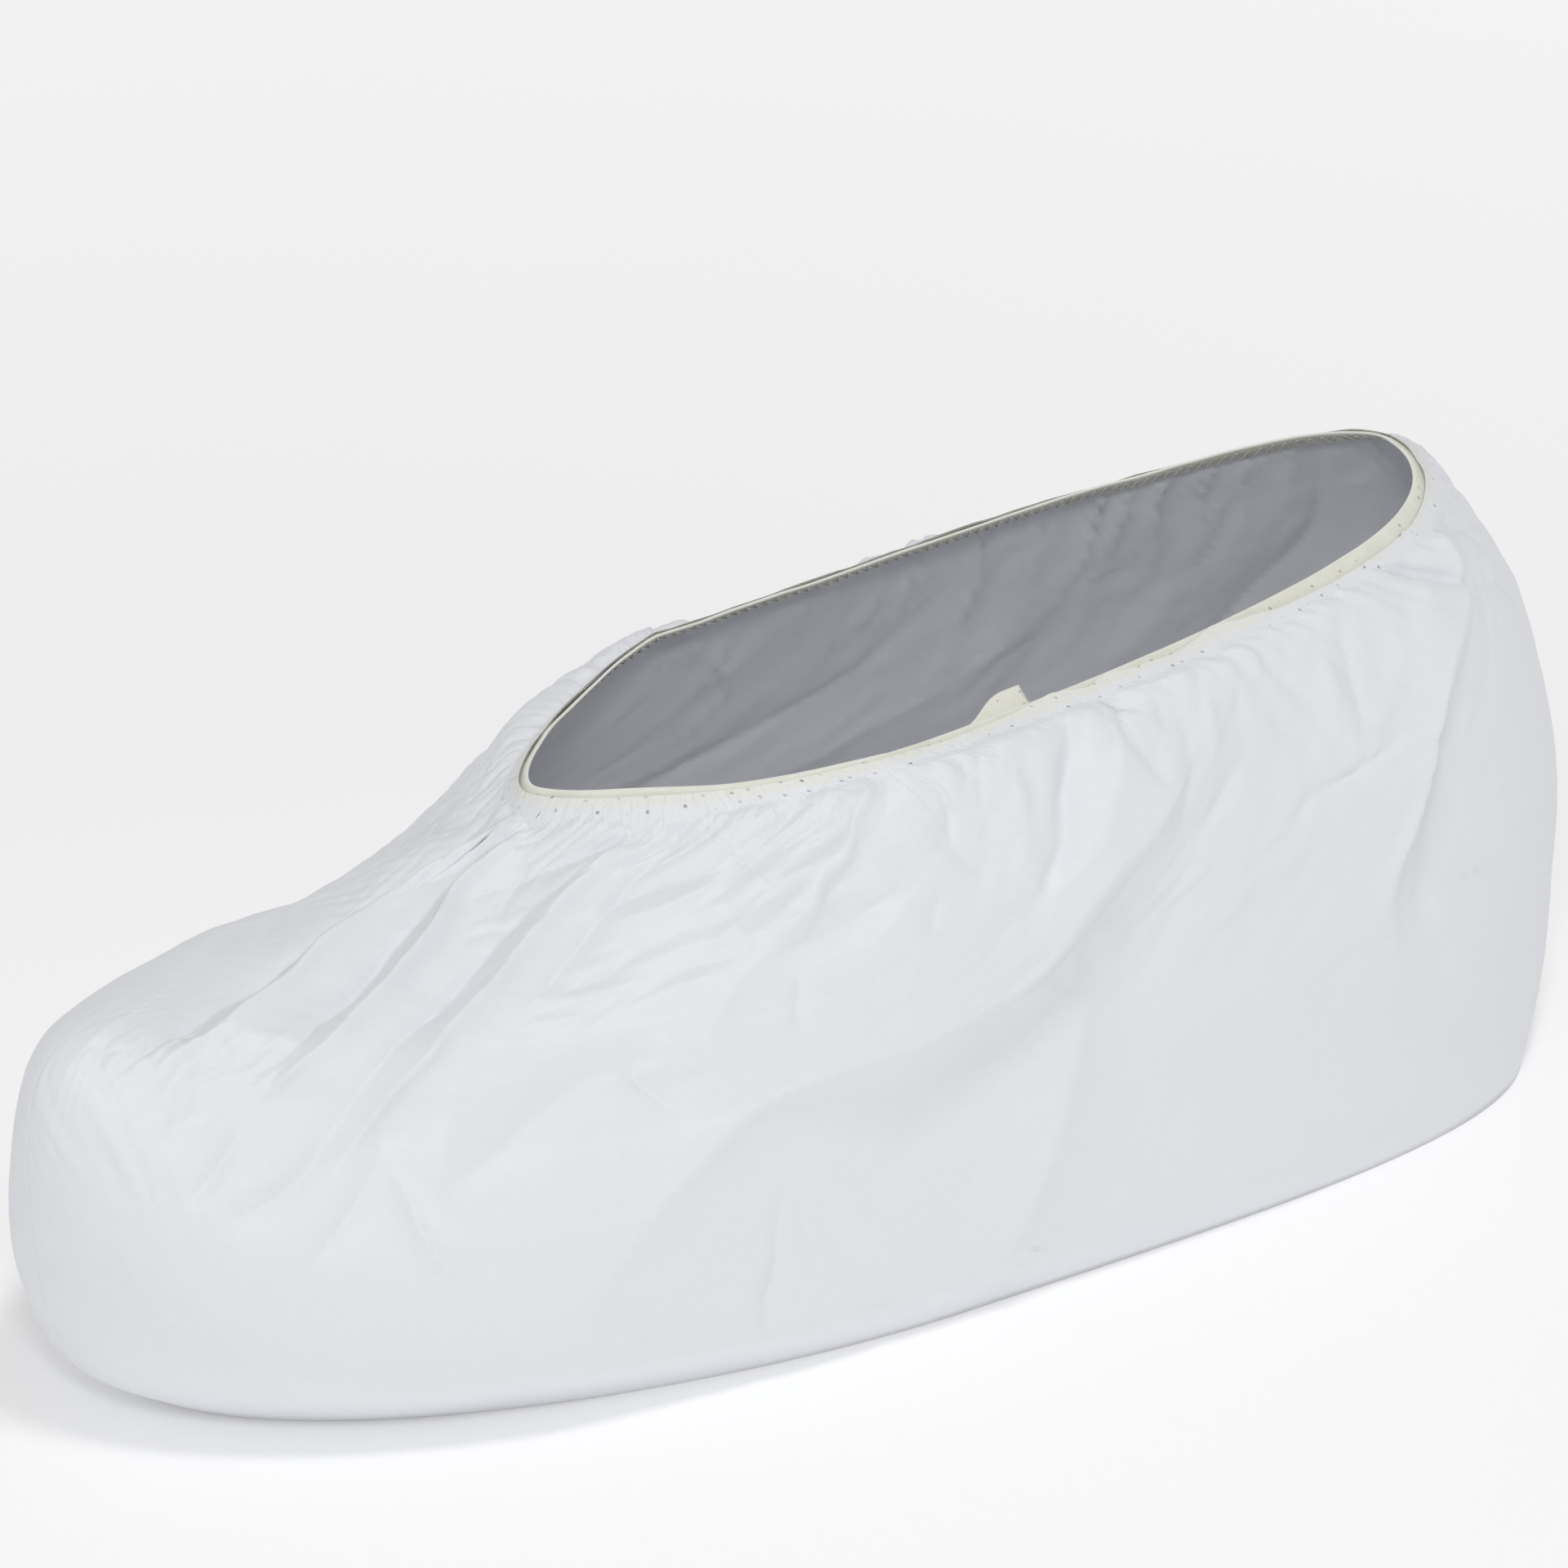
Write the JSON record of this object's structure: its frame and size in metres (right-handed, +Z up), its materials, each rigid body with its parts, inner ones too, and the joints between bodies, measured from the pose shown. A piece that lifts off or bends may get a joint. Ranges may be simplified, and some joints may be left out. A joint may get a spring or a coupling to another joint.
{
  "type": "shoe cover",
  "caption": "Disposable white shoe cover in its worn shape: two sewn panels round a boot-shaped hollow, gathered at the mouth by a flat elastic band.",
  "frame": {"origin": "on the ground, under the middle of the cover", "axes": "+X towards the toe, +Y towards the wearer's left, +Z up"},
  "size_m": [0.3361, 0.1308, 0.117],
  "materials": {
    "cloth": "thin white film-faced nonwoven, smooth, crinkled, with a faint sheen",
    "elastic": "flat cream rubber elastic, satin, slightly see-through"
  },
  "bodies": {
    "root": {"left_panel": "cloth", "right_panel": "cloth", "elastic_band": "elastic", "elastic_end": "elastic"}
  },
  "joints": []
}
